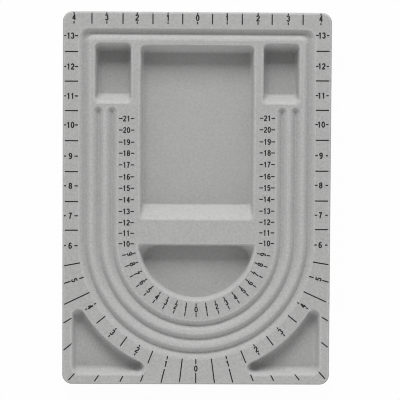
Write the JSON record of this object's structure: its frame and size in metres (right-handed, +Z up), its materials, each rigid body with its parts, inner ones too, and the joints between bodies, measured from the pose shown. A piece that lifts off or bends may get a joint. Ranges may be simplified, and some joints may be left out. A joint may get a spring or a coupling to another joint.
{
  "type": "bead board",
  "caption": "Shallow flocked tray for laying out strung beads: nested U-shaped bead channels beside printed scales, with bead wells.",
  "frame": {"origin": "centre of the board's outline, on the surface that it lies on", "axes": "+X to the user's right, +Y away from the user towards the open end of the U, +Z up"},
  "size_m": [0.2298, 0.3192, 0.0166],
  "materials": {
    "sheet": "matte grey plastic",
    "flock": "short grey flock pile",
    "ink": "black printed ink"
  },
  "bodies": {
    "root": {"plastic_sheet": "sheet", "flock_coat": "flock"}
  },
  "joints": []
}
